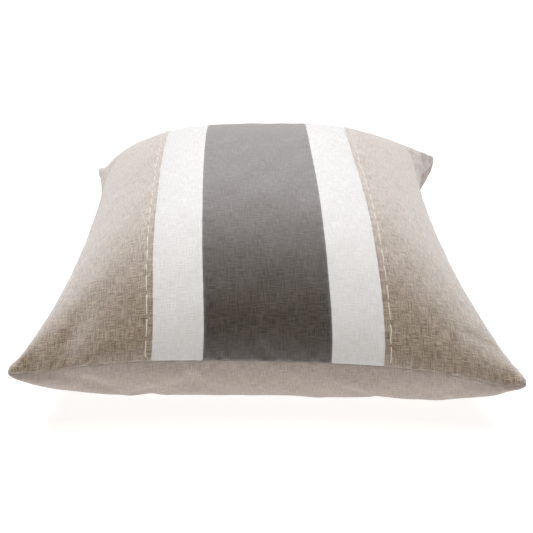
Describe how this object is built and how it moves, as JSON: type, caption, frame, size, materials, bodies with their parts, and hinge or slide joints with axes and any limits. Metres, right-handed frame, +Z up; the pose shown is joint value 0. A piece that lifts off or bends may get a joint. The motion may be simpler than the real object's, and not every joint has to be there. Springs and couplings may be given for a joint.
{
  "type": "throw pillow",
  "caption": "Square scatter cushion: a zipped linen cover with a banded front and a plain back over a soft filled insert, for a sofa, chair or bed.",
  "frame": {"origin": "on the surface that the pillow lies on, under the middle of its four corners", "axes": "+Z up out of the banded front, +X across the bands to the right, +Y along the bands towards the zipped edge"},
  "size_m": [0.474, 0.466, 0.1814],
  "materials": {
    "natural_linen": "undyed slub linen, plain weave",
    "white_linen": "bleached slub linen, plain weave",
    "charcoal_linen": "dyed slub linen, plain weave",
    "oatmeal_linen": "pale plain-weave linen",
    "stitch_thread": "twisted off-white embroidery thread",
    "zipper_tape": "woven polyester tape",
    "zipper_coil": "dyed monofilament",
    "zipper_metal": "lacquered die-cast metal",
    "ticking": "close-woven cotton",
    "filling": "loose feather and down",
    "label_satin": "blank satin ribbon"
  },
  "bodies": {
    "pillow": {"front_left_natural_panel": "natural_linen", "front_left_white_band": "white_linen", "front_centre_band": "charcoal_linen", "front_right_white_band": "white_linen", "front_right_natural_panel": "natural_linen", "back_panel": "oatmeal_linen", "left_running_stitch": "stitch_thread", "right_running_stitch": "stitch_thread", "zipper_upper_tape": "zipper_tape", "zipper_lower_tape": "zipper_tape", "zipper_upper_coil": "zipper_coil", "zipper_lower_coil": "zipper_coil", "zipper_upper_top_stop": "zipper_metal", "zipper_lower_top_stop": "zipper_metal", "zipper_bottom_stop": "zipper_metal", "insert_front_ticking": "ticking", "insert_back_ticking": "ticking", "insert_filling": "filling", "care_label": "label_satin"},
    "slider": {"zipper_slider": "zipper_metal"},
    "pull": {"zipper_pull_tab": "zipper_metal"}
  },
  "joints": [
    {"name": "zipper_slide", "type": "slide", "parent": "pillow", "child": "slider", "axis": [-1, 0, 0], "range_m": [0, 0.32]},
    {"name": "pull_swing", "type": "hinge", "parent": "slider", "child": "pull", "pos_m": [0.1602, 0.2058, 0.077], "axis": [1, 0, 0], "range_deg": [-5, 165]}
  ]
}
